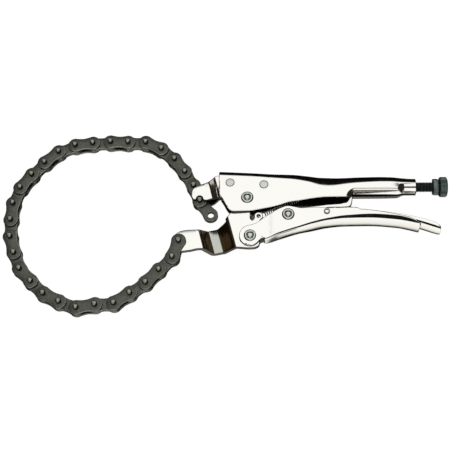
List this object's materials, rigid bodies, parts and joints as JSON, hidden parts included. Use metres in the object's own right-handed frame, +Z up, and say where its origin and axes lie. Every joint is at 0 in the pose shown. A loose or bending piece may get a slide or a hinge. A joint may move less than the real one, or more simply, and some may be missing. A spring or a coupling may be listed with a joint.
{
  "type": "locking chain pliers",
  "caption": "Locking pliers whose chain wraps round a workpiece: folded nickel-plated handles, a hooked upper jaw, a troughed lower jaw and an adjusting screw.",
  "frame": {"origin": "middle of the footprint, on the surface that the tool lies on", "axes": "+X from the chain towards the adjusting screw, +Y across the handles towards the upper one, +Z up along the rivets"},
  "size_m": [0.3854, 0.169, 0.0235],
  "materials": {
    "nickel": "bright polished nickel plate",
    "rivet": "nickel-plated rivets, pins and spring",
    "chain": "oiled dark grey steel",
    "black": "blackened steel"
  },
  "bodies": {
    "upper_side": {"upper_handle": "nickel", "upper_jaw_front_plate": "nickel", "upper_jaw_back_plate": "nickel", "jaw_rivet_front": "rivet", "jaw_rivet_rear": "rivet", "main_pivot_rivet": "rivet", "tension_spring": "rivet"},
    "lower_jaw": {"lower_jaw": "nickel", "lower_handle_rivet": "rivet"},
    "lower_handle": {"lower_handle": "nickel", "toggle_rivet": "rivet", "toggle_spacer_front": "rivet", "toggle_spacer_back": "rivet", "release_lever_pin": "rivet"},
    "toggle_link": {"toggle_link": "nickel"},
    "release_lever": {"release_lever": "nickel"},
    "adjusting_screw": {"adjusting_screw": "black"},
    "lock_nut": {"lock_nut": "black"},
    "chain_run_01": {"chain_outer_link_01": "chain", "chain_inner_link_01": "chain", "chain_outer_link_02": "chain", "chain_inner_link_02": "chain"},
    "chain_run_02": {"chain_outer_link_03": "chain", "chain_inner_link_03": "chain", "chain_outer_link_04": "chain", "chain_inner_link_04": "chain"},
    "chain_run_03": {"chain_outer_link_05": "chain", "chain_inner_link_05": "chain", "chain_outer_link_06": "chain", "chain_inner_link_06": "chain"},
    "chain_run_04": {"chain_outer_link_07": "chain", "chain_inner_link_07": "chain", "chain_outer_link_08": "chain", "chain_inner_link_08": "chain"},
    "chain_run_05": {"chain_outer_link_09": "chain", "chain_inner_link_09": "chain", "chain_outer_link_10": "chain", "chain_inner_link_10": "chain"},
    "chain_run_06": {"chain_outer_link_11": "chain", "chain_inner_link_11": "chain", "chain_outer_link_12": "chain", "chain_inner_link_12": "chain"},
    "chain_run_07": {"chain_outer_link_13": "chain", "chain_inner_link_13": "chain", "chain_outer_link_14": "chain", "chain_inner_link_14": "chain"},
    "chain_run_08": {"chain_outer_link_15": "chain"},
    "end_link": {"chain_end_link": "chain"}
  },
  "joints": [
    {"name": "jaw_opening", "type": "hinge", "parent": "upper_side", "child": "lower_jaw", "pos_m": [0.01914, 0.02229, 0.0133], "axis": [0, 0, 1], "range_deg": [0, 12], "deforming": ["tension_spring"]},
    {"name": "handle_swing", "type": "hinge", "parent": "lower_jaw", "child": "lower_handle", "pos_m": [0.02184, -0.01361, 0.0133], "axis": [0, 0, 1], "range_deg": [-40, 0]},
    {"name": "toggle_swing", "type": "hinge", "parent": "lower_handle", "child": "toggle_link", "pos_m": [0.05454, 0.00498, 0.0133], "axis": [0, 0, 1], "range_deg": [0, 47.28]},
    {"name": "release_lever_press", "type": "hinge", "parent": "lower_handle", "child": "release_lever", "pos_m": [0.08761, 0.00669, 0.0133], "axis": [0, 0, 1], "range_deg": [0, 8]},
    {"name": "screw_travel", "type": "slide", "parent": "upper_side", "child": "adjusting_screw", "axis": [1, 0, 0], "range_m": [0, 0.012]},
    {"name": "lock_nut_turn", "type": "hinge", "parent": "adjusting_screw", "child": "lock_nut", "pos_m": [0.1823, 0.03319, 0.0133], "axis": [1, 0, 0], "continuous": true},
    {"name": "chain_pin_30", "type": "hinge", "parent": "lower_jaw", "child": "chain_run_01", "pos_m": [-0.03945, -0.01777, 0.0133], "axis": [0, 0, 1], "range_deg": [-5.16, 0]},
    {"name": "chain_pin_26", "type": "hinge", "parent": "chain_run_01", "child": "chain_run_02", "pos_m": [-0.07905, -0.06533, 0.0133], "axis": [0, 0, 1], "range_deg": [-3.7, 0]},
    {"name": "chain_pin_22", "type": "hinge", "parent": "chain_run_02", "child": "chain_run_03", "pos_m": [-0.13865, -0.07295, 0.0133], "axis": [0, 0, 1], "range_deg": [0, 1.46]},
    {"name": "chain_pin_18", "type": "hinge", "parent": "chain_run_03", "child": "chain_run_04", "pos_m": [-0.18119, -0.02832, 0.0133], "axis": [0, 0, 1], "range_deg": [0, 5.16]},
    {"name": "chain_pin_14", "type": "hinge", "parent": "chain_run_04", "child": "chain_run_05", "pos_m": [-0.18131, 0.03358, 0.0133], "axis": [0, 0, 1], "range_deg": [0, 0.3132]},
    {"name": "chain_pin_10", "type": "hinge", "parent": "chain_run_05", "child": "chain_run_06", "pos_m": [-0.13545, 0.07554, 0.0133], "axis": [0, 0, 1], "range_deg": [-1.66, 0]},
    {"name": "chain_pin_06", "type": "hinge", "parent": "chain_run_06", "child": "chain_run_07", "pos_m": [-0.07212, 0.07792, 0.0133], "axis": [0, 0, 1], "range_deg": [-1.1, 0]},
    {"name": "chain_pin_02", "type": "hinge", "parent": "chain_run_07", "child": "chain_run_08", "pos_m": [-0.02803, 0.03455, 0.0133], "axis": [0, 0, 1], "range_deg": [-0.252, 0]},
    {"name": "chain_tail_swing", "type": "hinge", "parent": "chain_run_08", "child": "end_link", "pos_m": [-0.0221, 0.01982, 0.0133], "axis": [0, 0, 1], "range_deg": [-15, 20]}
  ],
  "couplings": [
    {"joint": "handle_swing", "follows": "jaw_opening", "ratio": -3.3333},
    {"joint": "toggle_swing", "follows": "jaw_opening", "ratio": 3.94},
    {"joint": "chain_pin_30", "follows": "jaw_opening", "ratio": -0.4301},
    {"joint": "chain_pin_26", "follows": "jaw_opening", "ratio": -0.3087},
    {"joint": "chain_pin_22", "follows": "jaw_opening", "ratio": 0.1213},
    {"joint": "chain_pin_18", "follows": "jaw_opening", "ratio": 0.43},
    {"joint": "chain_pin_14", "follows": "jaw_opening", "ratio": 0.0261},
    {"joint": "chain_pin_10", "follows": "jaw_opening", "ratio": -0.1385},
    {"joint": "chain_pin_06", "follows": "jaw_opening", "ratio": -0.0913},
    {"joint": "chain_pin_02", "follows": "jaw_opening", "ratio": -0.021}
  ]
}
